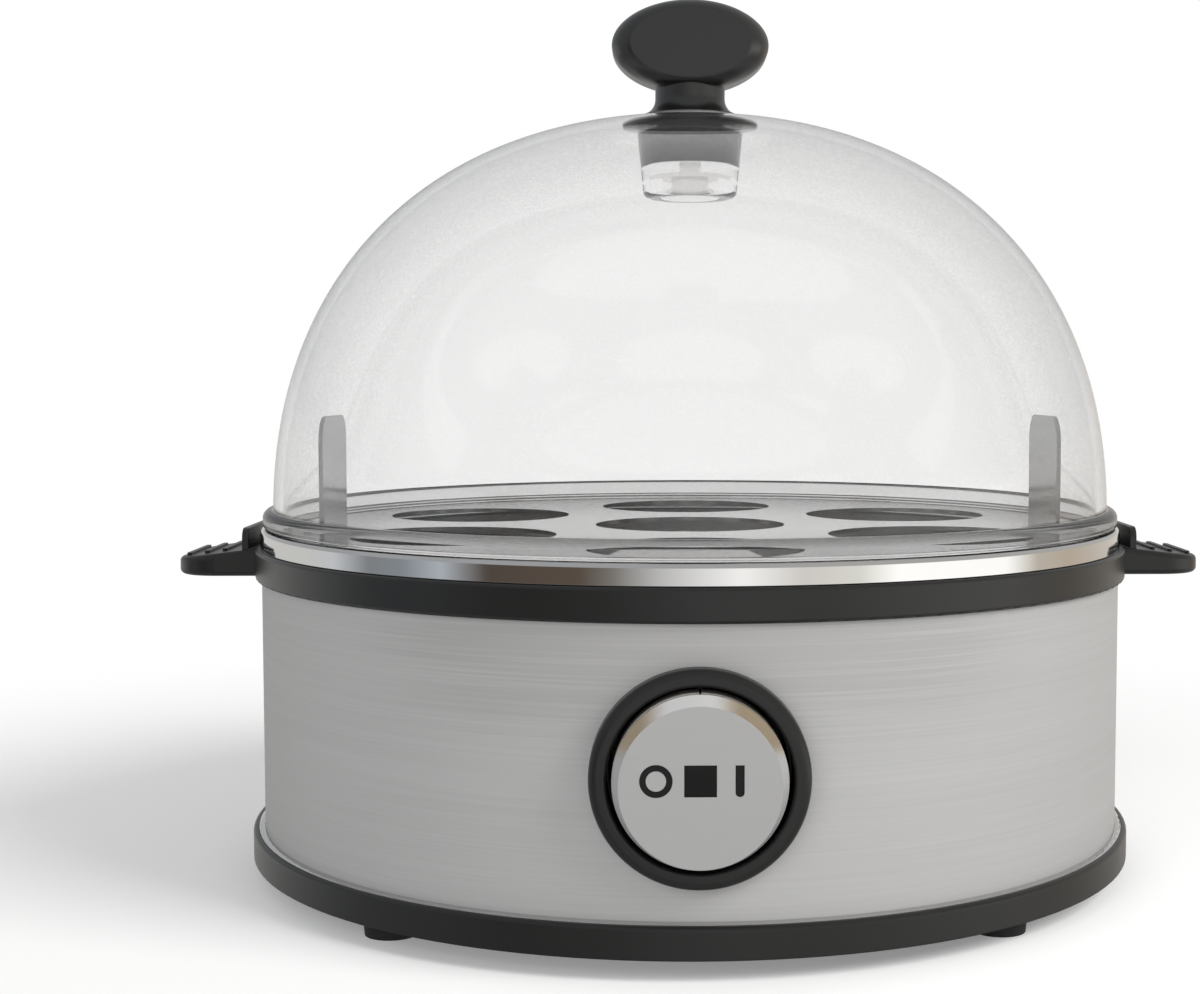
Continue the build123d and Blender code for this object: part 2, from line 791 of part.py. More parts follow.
def switch_housing():
    """Cup behind the bezel with slots for the terminals."""
    cup = along_y(neck_radius, neck_back, housing_back, 0, dial_z)
    cup -= along_y(housing_bore, neck_back, housing_back + housing_floor, 0, dial_z)
    half_x = terminal_thickness / 2 + terminal_fit
    half_z = terminal_width / 2 + terminal_fit
    for x in terminal_places:
        cup -= block((x - half_x, -housing_back - housing_floor, dial_z - half_z),
                     (x + half_x, -housing_back, dial_z + half_z))
    return cup


def switch_terminal(x):
    """Brass blade through the housing's floor."""
    half_x = terminal_thickness / 2
    half_z = terminal_width / 2
    return block((x - half_x, -terminal_stop, dial_z - half_z), (x + half_x, -terminal_end, dial_z + half_z))


def pivot_terminal():
    """Middle blade, which reaches further and ends in the round nose that the seesaw contact rocks on."""
    half_x = terminal_thickness / 2
    half_z = terminal_width / 2
    blade = block((-half_x, -contact_back, dial_z - half_z), (half_x, -terminal_end, dial_z + half_z))
    return blade + upright(half_x, dial_z - half_z, dial_z + half_z, 0, -contact_back)


def switch_terminals():
    """The two outer blades and the middle one."""
    return [switch_terminal(terminal_places[0]), pivot_terminal(), switch_terminal(terminal_places[2])]


def seesaw_contact():
    """Copper strip with a contact point at each end and a groove that sits on the middle blade's nose."""
    half_z = contact_width / 2
    strip = block((-contact_half_length, -contact_front, dial_z - half_z),
                  (contact_half_length, -contact_back, dial_z + half_z))
    for side in (-1, 1):
        strip += along_y(contact_point_radius, contact_front, contact_back - contact_point_height,
                         side * contact_point_place, dial_z)
    groove_radius = terminal_thickness / 2 + pivot_clearance
    return strip - upright(groove_radius, dial_z - half_z, dial_z + half_z, 0, -contact_back)


def bevel_stack(radius, bevel_width, front, depth):
    """Round block whose bevelled face lies in front, a little low."""
    back_circle = Plane((0, -front + depth, dial_z), z_dir=(0, -1, 0)) * Circle(radius)
    front_plane = Plane((0, -front, dial_z - cap_bevel_drop), z_dir=(0, -1, 0))
    front_circle = front_plane * Circle(radius - bevel_width)
    return loft([back_circle, front_circle])


def rocker_cap():
    """Steel button face: bevelled dish with pockets for the signs and the lens."""
    cap = bevel_stack(cap_radius, cap_bevel_width, cap_face, cap_bevel)
    cap += along_y(cap_radius, cap_edge_front, cap_edge_front - cap_edge, 0, dial_z)
    cap -= bevel_stack(cap_radius - cap_wall, cap_bevel_width, cap_face - cap_wall,
                       cap_bevel - cap_wall + cap_edge)
    for cutter in (ring_mark_block(cap_face, cap_face - mark_depth),
                   bar_mark_block(cap_face, cap_face - mark_depth), lens_block(cap_face, 0)):
        cap -= cutter
    return cap


def ring_mark_block(front, back):
    """The round switch sign as a ring between two depths."""
    ring = along_y(ring_mark_radius, front, back, ring_mark_place, mark_height)
    return ring - along_y(ring_mark_radius - mark_stroke, front, back, ring_mark_place, mark_height)


def bar_mark_block(front, back):
    """The upright switch sign as a bar with a rounded lower end."""
    half = bar_mark_width / 2
    low = mark_height - bar_mark_height / 2 + half
    bar = block((bar_mark_place - half, -front, low),
                (bar_mark_place + half, -back, mark_height + bar_mark_height / 2))
    return bar + along_y(half, front, back, bar_mark_place, low)


def lens_block(front, slack):
    """The square window between the face and its back."""
    half_x = lens_width / 2 + slack
    half_z = lens_height / 2 + slack
    return block((-half_x, -front, mark_height - half_z),
                 (half_x, -front + lens_depth, mark_height + half_z))


def mark_inlays():
    """Black fill of both signs, a little under the face."""
    front = cap_face - mark_recess
    back = cap_face - mark_depth
    return [ring_mark_block(front, back), bar_mark_block(front, back)]


def rocker_trim():
    """Polished ring behind the groove, split at the top."""
    ring = along_y(cap_radius, trim_front, trim_back, 0, dial_z)
    ring -= along_y(cap_radius - trim_wall, trim_front, trim_back, 0, dial_z)
    half = trim_split / 2
    return ring - block((-half, -trim_front, dial_z), (half, -trim_back, dial_z + cap_radius))


def rocker_body():
    """Black carrier: fills the cap, carries the trim ring and turns on two trunnions."""
    edge_back = cap_edge_front - cap_edge
    body = bevel_stack(cap_radius - cap_wall - seat, cap_bevel_width, cap_face - cap_wall - seat,
                       cap_bevel - cap_wall + cap_edge - seat)
    body += along_y(cap_radius - trim_wall, edge_back, trim_back, 0, dial_z)
    body += along_y(cap_radius - seat, trim_back, carrier_back, 0, dial_z)
    body += along_y(rocker_boss_radius, carrier_back, rocker_boss_back, 0, dial_z)
    body += upright(pivot_radius, dial_z - pivot_reach, dial_z + pivot_reach, 0, -pivot_place)
    body -= lens_block(cap_face, seat / 2)
    lamp_front = cap_face - lens_depth
    body -= along_y(lamp_radius + seat, lamp_front, lamp_front - lamp_length - seat, 0, mark_height)
    return body - along_y(plunger_bore, spring_front, rocker_boss_back, 0, dial_z)


def indicator_lamp():
    """Small glow lamp behind the lens."""
    front = cap_face - lens_depth
    return along_y(lamp_radius, front, front - lamp_length, 0, mark_height)


def contact_plunger():
    """Plunger with a round tip that slides on the seesaw contact."""
    ball_place = plunger_tip + plunger_radius
    return along_y(plunger_radius, plunger_front, ball_place, 0, dial_z) \
        + Pos(0, -ball_place, dial_z) * Sphere(plunger_radius)


def plunger_spring():
    """Small compression spring behind the plunger."""
    length = spring_front - plunger_front - 2 * spring_wire
    coil = Helix(length / spring_turn_count, length, spring_radius)
    wire = sweep(Plane(coil @ 0, z_dir=coil % 0) * Circle(spring_wire), coil)
    return Pos(0, -plunger_front - spring_wire, dial_z) * Rot(90, 0, 0) * wire


# Mains side

def cord_gland():
    """Grommet in the shell's rear hole, with the bore for the cord."""
    reach = cap_face
    gland = along_y(gland_flange_radius, -body_radius + cut_reach, -reach, 0, gland_z)
    gland = fillet(front_edges(gland, gland_flange_radius, -reach), gland_round)
    gland -= upright(body_radius + seat / 2, casing_bottom, ring_bottom)
    gland += along_y(gland_neck_radius, -gland_back, -body_radius - seat, 0, gland_z)
    return gland - along_y(gland_bore, -gland_back, -reach, 0, gland_z)


def terminal_block():
    """Insulating block with three wire bores and three screw wells."""
    half = block_width / 2
    top = floor_top + block_height
    body = block((-half, block_front, floor_top), (half, block_front + block_depth, top))
    for x in block_places:
        body -= along_y(block_bore, -block_front, -block_front - block_depth, x, wire_height)
        body -= upright(block_screw_head + seat, wire_height, top, x, block_middle)
    return body


def terminal_screw(x):
    """Slotless clamp screw standing in its well, on the wire's height."""
    top = floor_top + block_height - block_screw_drop
    return upright(block_screw_head, wire_height + block_bore, top, x, block_middle)


def wire(points, radii):
    """Insulated wire along straight runs and round bends."""
    path = FilletPolyline(*points, radius=radii)
    return sweep(Plane(path @ 0, z_dir=path % 0) * Circle(wire_radius), path)


def internal_wires():
    """Five wires: mains to switch, switch to thermostat, both sides of the fuse, and neutral."""
    tab_height = plate_bottom - thermostat_height + thermostat_tab_rise + sheet / 2
    tab_end = thermostat_tab_reach
    fuse_z = fuse_axis_height() - screw_fit
    lead = fuse_lead_reach
    pin_x, pin_y = element_ends()[1]
    left = terminal_places[0]
    clamp = block_places[0]
    front_gap = -(shield_radius + terminal_end) / 2
    rear_gap = (shield_radius + block_front) / 2
    live = wire([(left, -terminal_end, dial_z), (left, front_gap, dial_z), (left, front_gap, floor_top + 7.2),
                 (-14, -30, floor_top + 4.2), (-16, 0, floor_top + 4.2), (-14, 30, floor_top + 4.2),
                 (clamp, block_front - 10, wire_height), (clamp, block_front, wire_height)],
                [2, 4, 5, 8, 8, 6])
    switched = wire([(0, -terminal_end, dial_z), (0, -terminal_end + 8, dial_z),
                     (0, -tab_end - 11, tab_height - 2), (0, -tab_end - 6, tab_height),
                     (0, -tab_end, tab_height)], [4, 4, 4])
    to_fuse = wire([(0, tab_end, tab_height), (0, tab_end + 4.5, tab_height), (-8, tab_end + 4.5, tab_height),
                    (-lead - 5, tab_end + 6, fuse_z), (-lead - 5, fuse_place, fuse_z),
                    (-lead, fuse_place, fuse_z)], [2, 2, 2, 2])
    from_fuse = wire([(lead, fuse_place, fuse_z), (lead + 6.5, fuse_place, fuse_z),
                      (lead + 9.5, fuse_place + 4, fuse_z - 7), (pin_x, pin_y - 3.5, pin_bottom - 3),
                      (pin_x, pin_y, pin_bottom - 3), (pin_x, pin_y, pin_bottom)], [1.5, 2, 1, 1.5])
    neutral = wire([(-pin_x, pin_y, pin_bottom), (-pin_x, pin_y, pin_bottom - 3.2),
                    (-pin_x, rear_gap - 1, pin_bottom - 3.2), (-pin_x, rear_gap, wire_height + 2),
                    (0, rear_gap, wire_height), (0, block_front, wire_height)], [2, 2, 2, 2])
    return [live, switched, to_fuse, from_fuse, neutral]


# Lid

def dome_outline(radius, rise, top):
    """Superellipse from the dome's foot up to a flat of a given height."""
    power = 2 / dome_exponent
    last = math.asin(min(1, top / rise) ** (1 / power))
    points = []
    for i in range(dome_point_count + 1):
        t = last * i / dome_point_count
        points.append((radius * math.cos(t) ** power, 0, lid_bottom + rise * math.sin(t) ** power))
    return points


def dome_solid(radius, rise, top):
    """Filled dome under a flat top."""
    points = dome_outline(radius, rise, top)
    curve = Spline(*points)
    sides = Polyline(points[-1], (0, 0, points[-1][2]), (0, 0, lid_bottom), points[0])
    return revolve(make_face([curve, sides]), Axis.Z)


def lid_dome():
    """Clear dome with flange, locating skirt and the hanging boss for the knob."""
    skirt_bottom = lid_bottom - lid_skirt_drop
    inner_rise = dome_rise - lid_wall
    skirt = upright(lid_skirt_radius, skirt_bottom, lid_bottom)
    flange = upright(flange_radius, lid_bottom, lid_bottom + flange_height)
    flange = fillet(rim_edges(flange, flange_radius, lid_bottom + flange_height), flange_round)
    flange = fillet(rim_edges(flange, flange_radius, lid_bottom), flange_edge)
    lid = dome_solid(lid_radius, dome_rise, dome_rise - seat_flat) + skirt + flange
    lid -= dome_solid(lid_inner_radius, inner_rise, inner_rise)
    lid -= upright(lid_inner_radius, skirt_bottom, lid_bottom)
    shoulder = seat_height - lid_wall
    lid += turned((0, boss_bottom), (boss_radius - boss_taper, boss_bottom),
                  (boss_radius, shoulder), (0, shoulder))
    lid -= upright(boss_recess_radius, boss_bottom, boss_web_bottom)
    lid -= upright(stem_radius + stem_clearance, boss_web_top, seat_height)
    return lid - upright(knob_screw_radius + seat, boss_web_bottom, boss_web_top)


def knob_seal():
    """Silicone ring under the knob's flare."""
    ring = upright(knob_flare_radius - knob_seal_inset, seat_height, knob_base)
    return ring - upright(stem_radius + stem_clearance, seat_height, knob_base)


def ellipse_at(half_width, half_height, depth, height):
    """Upright ellipse facing -Y."""
    return Plane((0, depth, height), x_dir=(1, 0, 0), z_dir=(0, -1, 0)) * Ellipse(half_width, half_height)


def knob_head():
    """Elliptical head with a flat face in front and behind and a rounded border."""
    face_half_width = knob_head_half_width - knob_face_inset
    face_half_height = knob_head_half_height - knob_face_drop
    border_width = (knob_head_half_width + face_half_width) / 2 + knob_swell
    border_height = (knob_head_half_height + face_half_height) / 2 + knob_swell
    border_depth = (knob_flat_half_depth + knob_head_half_depth) / 2 + knob_swell
    head = extrude(ellipse_at(knob_head_half_width, knob_head_half_height, 0, knob_middle),
                   knob_flat_half_depth, both=True)
    for side in (-1, 1):
        head += loft([
            ellipse_at(knob_head_half_width, knob_head_half_height, side * knob_flat_half_depth, knob_middle),
            ellipse_at(border_width, border_height, side * border_depth, knob_middle),
            ellipse_at(face_half_width, face_half_height, side * knob_head_half_depth, knob_middle)])
    return head


def lid_knob():
    """Knob: head, waisted neck with a flare, and the stem that goes into the boss."""
    stem_low = boss_web_top + seat
    waist = knob_base + knob_waist_height
    hollow = ((knob_flare_radius + knob_waist_radius) / 2 - knob_flare_hollow, 0,
              knob_base + (knob_waist_height - knob_flare_hollow) / 2)
    curve = ThreePointArc((knob_flare_radius, 0, knob_base), hollow, (knob_waist_radius, 0, waist))
    shoulder = knob_middle - knob_head_half_height / 2
    sides = Polyline((knob_waist_radius, 0, waist), (knob_waist_radius, 0, shoulder),
                     (0, 0, shoulder), (0, 0, knob_base), (knob_flare_radius, 0, knob_base))
    neck = revolve(make_face([curve, sides]), Axis.Z)
    knob = knob_head() + neck + upright(stem_radius, stem_low, knob_base)
    return knob - upright(knob_screw_radius + screw_fit, stem_low, boss_web_bottom + knob_screw_length)


def knob_screw():
    """Screw up through the boss into the knob."""
    head = boss_web_bottom - knob_washer_thickness
    return Pos(0, 0, head) * screw(knob_screw_radius, knob_screw_length, knob_screw_head_radius,
                                   knob_screw_head_height)


def knob_washer():
    """Washer under the screw's head."""
    low = boss_web_bottom - knob_washer_thickness
    disc = upright(knob_washer_radius, low, boss_web_bottom)
    return disc - upright(knob_screw_radius + seat, low, boss_web_bottom)


# Egg tray

def egg_tray():
    """Plate with seven egg holes and a turned-down edge that rests on the bowl's ledge."""
    low = tray_top - tray_edge_height
    tray = turned(
        (0, tray_bottom), (tray_radius - sheet, tray_bottom), (tray_radius - sheet, low),
        (tray_radius, low), (tray_radius, tray_top), (0, tray_top))
    tray = fillet(rim_edges(tray, tray_radius, tray_top), sheet / 2)
    tray -= upright(egg_hole_radius, tray_bottom, tray_top)
    for x, y in round_places(egg_circle, spaced_angles(egg_ring_count, egg_first_angle)):
        tray -= upright(egg_hole_radius, tray_bottom, tray_top, x, y)
    return tray


def tray_lug(side):
    """Upright lifting lug with its foot welded on the tray."""
    plate = block((lug_place, -lug_half_width, tray_top),
                  (lug_place + sheet, lug_half_width, tray_top + lug_height))
    plate = fillet(plate.edges().filter_by(Axis.X).group_by(Axis.Z)[-1], lug_corner)
    foot = block((lug_place, -lug_half_width, tray_top),
                 (lug_place + lug_foot, lug_half_width, tray_top + sheet))
    lug = plate + foot
    if side < 0:
        lug = Rot(0, 0, 180) * lug
    return lug


def save_base():
    """Casing, shell, ring and bowl."""
    save("bottom_casing", bottom_casing())
    save("rubber_feet", group(rubber_foot(x, y) for x, y in foot_places()))
    save("casing_screws", group(casing_screw(x, y) for x, y in foot_places()))
    save("body_shell", body_shell())
    save("base_trim_ring", base_trim_ring())
    save("upper_ring", upper_ring())
    save("heating_bowl", heating_bowl())
    save("bowl_gasket", bowl_gasket())
    save("bowl_tabs", group(bowl_tab(angle) for angle in spaced_angles(tab_count, tab_first_angle)))


def save_heater():
    """Heater, its sensors and the shield."""
    save("heater_plate", heater_plate())
    save("heating_element", heating_element())
    top = element_end_height
    middle = top - insulator_length
    save("element_insulators", group(upright(insulator_radius, middle, top, x, y) for x, y in element_ends()))
    save("element_pins", group(upright(pin_radius, pin_bottom, middle, x, y)
                               for x, y in element_ends()))
    save("thermostat", thermostat())
    save("thermostat_bracket", thermostat_bracket())
    save("heater_screws", group(heater_screws()))
    save("thermal_fuse", thermal_fuse())
    save("fuse_clip", fuse_clip())
    save("heat_shield", heat_shield())
    places = round_places(shield_circle, spaced_angles(shield_count, shield_first_angle))
    save("shield_screws", group(shield_screw(x, y) for x, y in places))


def save_switch():
    """Switch, from the bezel back to the terminals."""
    save("switch_bezel", switch_bezel())
    save("switch_nut", switch_nut())
    save("switch_housing", switch_housing())
    save("switch_terminals", group(switch_terminals()))
    save("seesaw_contact", seesaw_contact())
    save("rocker_cap", rocker_cap())
    save("rocker_trim", rocker_trim())
    save("rocker_body", rocker_body())
    save("mark_inlays", group(mark_inlays()))
    save("indicator_lens", lens_block(cap_face, 0))
    save("indicator_lamp", indicator_lamp())
    save("contact_plunger", contact_plunger())
    save("plunger_spring", plunger_spring())


def save_mains():
    """Cord gland, terminal block and wires."""
    save("cord_gland", cord_gland())
    save("terminal_block", terminal_block())
    save("terminal_screws", group(terminal_screw(x) for x in block_places))
    save("internal_wires", group(internal_wires()))


def save_lid_and_tray():
    """What lifts off."""
    save("lid_dome", lid_dome())
    save("lid_knob", lid_knob())
    save("knob_seal", knob_seal())
    save("knob_screw", knob_screw())
    save("knob_washer", knob_washer())
    save("egg_tray", egg_tray())
    save("tray_lugs", group(tray_lug(side) for side in (-1, 1)))


save_base()
save_heater()
save_switch()
save_mains()
save_lid_and_tray()
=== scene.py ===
# %% [markdown]
# A round electric egg cooker with seven places: a brushed steel body on a black base, a polished bowl rim,
# a black ring with two handles, a round rocker switch, and a clear dome with a black knob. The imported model
# already has every piece at its real size. What follows is about finishes and light, and about the two
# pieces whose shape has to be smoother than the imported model's flat facets.

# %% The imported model
import math

import bmesh
import bpy
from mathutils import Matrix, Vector


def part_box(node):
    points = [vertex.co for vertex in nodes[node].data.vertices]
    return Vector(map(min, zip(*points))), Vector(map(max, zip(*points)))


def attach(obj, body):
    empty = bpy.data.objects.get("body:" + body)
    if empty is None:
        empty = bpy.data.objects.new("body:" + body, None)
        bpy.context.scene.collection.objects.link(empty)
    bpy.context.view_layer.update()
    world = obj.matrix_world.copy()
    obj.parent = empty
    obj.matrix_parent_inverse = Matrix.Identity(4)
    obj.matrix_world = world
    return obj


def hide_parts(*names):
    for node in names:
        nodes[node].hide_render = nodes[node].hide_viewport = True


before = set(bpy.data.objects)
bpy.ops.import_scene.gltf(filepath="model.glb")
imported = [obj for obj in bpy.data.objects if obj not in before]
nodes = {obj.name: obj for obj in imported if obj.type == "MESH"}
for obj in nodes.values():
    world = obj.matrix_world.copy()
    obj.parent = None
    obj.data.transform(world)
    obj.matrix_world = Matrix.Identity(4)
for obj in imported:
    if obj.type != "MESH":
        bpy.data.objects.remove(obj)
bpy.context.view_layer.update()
MM = 0.001
print("pieces in the packed model:", len(nodes))

# %% [markdown]
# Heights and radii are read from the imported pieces, so that a change of the model's size carries through.
# A box tells where each piece starts and ends. Only what a box can't tell, such as a wall, is written here.

# %% Places read from the pieces
bowl_low, bowl_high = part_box("heating_bowl")
lid_low, lid_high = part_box("lid_dome")
cap_low, cap_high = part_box("rocker_cap")
tray_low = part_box("egg_tray")[0]
shell_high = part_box("body_shell")[1]
dial_height = (cap_low.z + cap_high.z) / 2
print("body radius in mm:", round(shell_high.x / MM, 2), "dial height in mm:", round(dial_height / MM, 2))

# %% [markdown]
# Shader maths reads best as a formula. This small class wraps a socket, so that adding or multiplying two
# of them adds the Math node that does it. Anything that isn't plain maths comes from one method of the
# finish, which takes the node's type, its settings and what goes into its sockets.

# %% Shader sockets that can be calculated with
class Socket:
    """An output of a node tree that takes part in formulas."""

    def __init__(self, finish, output):
        self.finish = finish
        self.output = output

    def calculate(self, operation, *values):
        """One Math node on this socket and the given values."""
        inputs = dict(enumerate((self, *values)))
        return self.finish.node("ShaderNodeMath", {"operation": operation}, inputs)

    def __add__(self, other):
        return self.calculate("ADD", other)

    def __sub__(self, other):
        return self.calculate("SUBTRACT", other)

    def __mul__(self, other):
        return self.calculate("MULTIPLY", other)

    def __truediv__(self, other):
        return self.calculate("DIVIDE", other)

    def __radd__(self, other):
        return self + other

    def __rmul__(self, other):
        return self * other

    def __rsub__(self, other):
        return (self * -1.0) + other

    def clamped(self):
        """The value kept between nothing and one."""
        return self.calculate("MINIMUM", 1.0).calculate("MAXIMUM", 0.0)

    def between(self, low, high):
        """A smooth step from nothing at low to one at high."""
        inputs = {"Value": self, "From Min": low, "From Max": high}
        return self.finish.node("ShaderNodeMapRange", {"interpolation_type": "SMOOTHSTEP"}, inputs)


class Finish:
    """A material, or the world, while it is being built."""

    def __init__(self, owner):
        self.owner = owner
        owner.use_nodes = True
        self.tree = owner.node_tree
        self.tree.nodes.clear()

    def node(self, kind, settings=None, inputs=None, output=0):
        """Adds a node of one type and returns one of its outputs."""
        made = self.tree.nodes.new(kind)
        for name, value in (settings or {}).items():
            setattr(made, name, value)
        for name, value in (inputs or {}).items():
            if isinstance(value, Socket):
                self.tree.links.new(value.output, made.inputs[name])
            else:
                made.inputs[name].default_value = value
        return Socket(self, made.outputs[output])

    def place(self):
        """Where a point lies on the object, in metres."""
        return self.node("ShaderNodeTexCoord", output="Object")

    def along(self, axis):
        """One coordinate of the place."""
        return self.node("ShaderNodeSeparateXYZ", {}, {"Vector": self.place()}, output=axis)

    def stretched(self, scale):
        """The place, stretched by a scale for each axis."""
        inputs = {"Vector": self.place(), "Scale": scale}
        return self.node("ShaderNodeMapping", {"vector_type": "POINT"}, inputs)

    def seen_by(self, kind):
        """One where a ray of this kind arrives, and nothing elsewhere."""
        return self.node("ShaderNodeLightPath", output="Is " + kind + " Ray")

    def noise(self, scale, detail=2.0):
        """Soft noise, from nothing to one, on stretched places."""
        inputs = {"Vector": self.stretched(scale), "Scale": 1.0, "Detail": detail, "Roughness": 0.55}
        return self.node("ShaderNodeTexNoise", {}, inputs)

    def blend(self, amount, first, second):
        """A colour between two colours."""
        inputs = {"Factor": amount, 6: first, 7: second}
        return self.node("ShaderNodeMix", {"data_type": "RGBA"}, inputs, output=2)

    def dents(self, height, strength, depth):
        """A normal that follows a height."""
        return self.node("ShaderNodeBump", {}, {"Height": height, "Strength": strength, "Distance": depth})

    def mixed(self, amount, first, second):
        """A shader between two shaders."""
        return self.node("ShaderNodeMixShader", {}, {0: amount, 1: first, 2: second})

    def surface(self, **values):
        """The shader that every solid finish ends in."""
        inputs = {name.replace("_", " "): value for name, value in values.items()}
        return self.node("ShaderNodeBsdfPrincipled", {}, inputs)

    def end(self, shader, kind="ShaderNodeOutputMaterial"):
        """Joins the last shader to the output."""
        last = self.tree.nodes.new(kind)
        self.tree.links.new(shader.output, last.inputs["Surface"])
        return self.owner


def new_finish(name):
    """An empty material to build on."""
    return Finish(bpy.data.materials.new(name))


def grey(level, warmth=0.0):
    """A grey in linear light, a little warmer or colder."""
    return (level * (1 + warmth), level, level * (1 - warmth), 1.0)


print("shader helpers ready")

# %% [markdown]
# Brushed steel gets its look from thousands of fine scratches that run one way. On a turned or rolled shell
# they run level round the body. Noise that is stretched along the scratch and squeezed across it gives the
# same streaks at a real scale, and it drives the roughness, the tone and a very shallow bump. In the middle
# of the front and of the rear, right under the black ring, the scratches are deeper and the steel is painted
# darker: painted shade under the ring.

# %% Brushed steel
def brushed_steel(name, along, across, tone=0.44, roughness=0.6):
    """Steel with fine level scratches: long in X and Y, narrow in Z, deepest under the black ring, where
    painted shade darkens it.
    """
    steel = new_finish(name)
    near_top = steel.along("Z").between(shell_high.z - 0.025, shell_high.z - 0.006)
    middle = steel.along("X").calculate("ABSOLUTE").between(0.06, 0.03)
    ring_streaks_and_painted_shade = near_top * middle
    depth = ring_streaks_and_painted_shade * 1.2 + 0.4
    fine = steel.noise((along, along, across), detail=2.0)
    broad = steel.noise((along / 3, along / 3, across / 5), detail=3.0)
    # Right under the black ring the tone is lowered: painted shade under the ring.
    streaks = ((fine - 0.5) * 1.5 * depth + (broad - 0.5) * 0.35 + 0.5 - ring_streaks_and_painted_shade * 0.6).clamped()
    colour = steel.blend(streaks, grey(tone * 0.86, 0.01), grey(tone * 1.14, 0.006))
    shader = steel.surface(Base_Color=colour, Metallic=0.2, Roughness=streaks * 0.12 + (roughness - 0.06),
                           Normal=steel.dents(streaks, 0.15, 0.00002))
    return steel.end(shader)


shell_steel = brushed_steel("Brushed steel shell", along=22.0, across=2600.0)
print("finish:", shell_steel.name)

# %% [markdown]
# The bowl rim, the thin trim band and the tray are polished. A perfect mirror would look like a drawing, so
# a faint haze of wiping marks changes the roughness from place to place.

# %% Polished steel
def polished_steel(name, tone=0.62, roughness=0.07):
    """Bright pressed steel with a faint haze."""
    steel = new_finish(name)
    haze = steel.noise((35.0, 35.0, 120.0), detail=4.0)
    turned = steel.noise((12.0, 12.0, 900.0), detail=2.0)
    shader = steel.surface(
        Base_Color=steel.blend(haze, grey(tone * 0.95, 0.012), grey(tone, 0.006)), Metallic=1.0,
        Roughness=haze * 0.06 + turned * 0.03 + (roughness - 0.04),
        Normal=steel.dents(turned, 0.03, 0.00001))
    return steel.end(shader)


rim_steel = polished_steel("Polished steel")
tray_steel = polished_steel("Pressed tray steel", tone=0.36, roughness=0.2)
# The lugs are the tray's steel made darker: a painted dark reflection.
painted_dark_lug_steel = polished_steel("Tray lug steel painted dark", tone=0.22, roughness=0.16)
bright_steel = polished_steel("Bright plated steel", tone=0.85, roughness=0.18)
print("finishes:", rim_steel.name, tray_steel.name, painted_dark_lug_steel.name, bright_steel.name)

# %% [markdown]
# The black ring, base, bezel and knob are moulded with a very fine satin grain, the mark of a lightly
# etched mould. The grain is far smaller than a millimetre, so it is a bump, and it softens the gloss. The
# knob is a little glossier than the rest.

# %% Black moulded plastic
def moulded_plastic(name, tone=0.009, roughness=0.34, depth=0.000012, shine=0.42):
    """Black plastic with etched grain and edges a little rounded."""
    plastic = new_finish(name)
    grain = 4200.0
    spots = plastic.noise((grain, grain, grain), detail=2.0)
    cloud = plastic.noise((60.0, 60.0, 60.0), detail=3.0)
    soft_edge = plastic.node("ShaderNodeBevel", {"samples": 4}, {"Radius": 0.0003})
    relief = plastic.node("ShaderNodeBump", {}, {"Height": spots, "Strength": 0.25, "Distance": depth,
                                                 "Normal": soft_edge})
    shader = plastic.surface(
        Base_Color=plastic.blend(cloud, grey(tone * 0.9, 0.02), grey(tone * 1.1, 0.03)),
        Roughness=spots * 0.1 + cloud * 0.06 + (roughness - 0.08), Specular_IOR_Level=shine, Normal=relief)
    return plastic.end(shader)


black_plastic = moulded_plastic("Black moulded plastic")
knob_plastic = moulded_plastic("Knob plastic", tone=0.006, roughness=0.3, shine=0.75)
print("finishes:", black_plastic.name, knob_plastic.name)

# %% [markdown]
# The lid is clear moulded plastic. The shader bends light at both faces of the wall, which gives the darker
# lines at the edge of the dome and the bright ring of the flange. Steam leaves a faint grainy haze, and it
# shows most where the wall is seen at a slant, because light then passes more of it. The flange is frosted
# more than the dome, and the boss not at all. Light for shadows goes straight through, because a render
# without caustics would put a black shadow under a clear lid.

# %% Clear plastic
def clear_plastic():
    """Clear lid plastic with a faint grainy haze at a slant."""
    clear = new_finish("Clear plastic")
    waves = clear.noise((30.0, 30.0, 18.0), detail=1.0)
    shader = clear.surface(
        Base_Color=grey(0.985, 0.002), Roughness=0.0, IOR=1.42,
        Transmission_Weight=1.0, Normal=clear.dents(waves, 0.04, 0.0002))
    grain = clear.noise((2600.0, 2600.0, 2600.0), detail=2.0)
    slant = clear.node("ShaderNodeLayerWeight", {}, {"Blend": 0.5}, output="Facing")
    from_axis = clear.node("ShaderNodeVectorMath", {"operation": "LENGTH"},
                           {0: clear.stretched((1.0, 1.0, 0.0))}, output="Value")
    smoke = (slant.between(0.2, 0.8) * 0.13 + 0.02) * (grain * 5.0 - 1.5).clamped()
    outside_boss = from_axis.between(0.011, 0.02)
    on_flange = from_axis.between(0.0797, 0.0803)
    frost = clear.node("ShaderNodeBsdfDiffuse", {}, {"Color": grey(0.06, 0.01)})
    hazy = clear.mixed(smoke * outside_boss + on_flange * 0.32, shader, frost)
    through = clear.node("ShaderNodeBsdfTransparent", {}, {"Color": grey(0.93)})
    return clear.end(clear.mixed(clear.seen_by("Shadow"), hazy, through))


lid_plastic = clear_plastic()
print("finish:", lid_plastic.name)

# %% [markdown]
# The pieces inside and under the body are plainer, but each still has its own metal or rubber. They share
# two small recipes: a metal whose tone and gloss are uneven, and a dull solid with a fine grain.

# %% Inner metals and rubbers
def plain_metal(name, colour, roughness, grain=220.0):
    """Metal with an uneven tone."""
    metal = new_finish(name)
    cloud = metal.noise((grain, grain, grain), detail=4.0)
    darker = tuple(0.82 * channel for channel in colour[:3]) + (1.0,)
    shader = metal.surface(
        Base_Color=metal.blend(cloud, darker, colour), Metallic=1.0,
        Roughness=cloud * 0.2 + (roughness - 0.1), Normal=metal.dents(cloud, 0.1, 0.00002))
    return metal.end(shader)


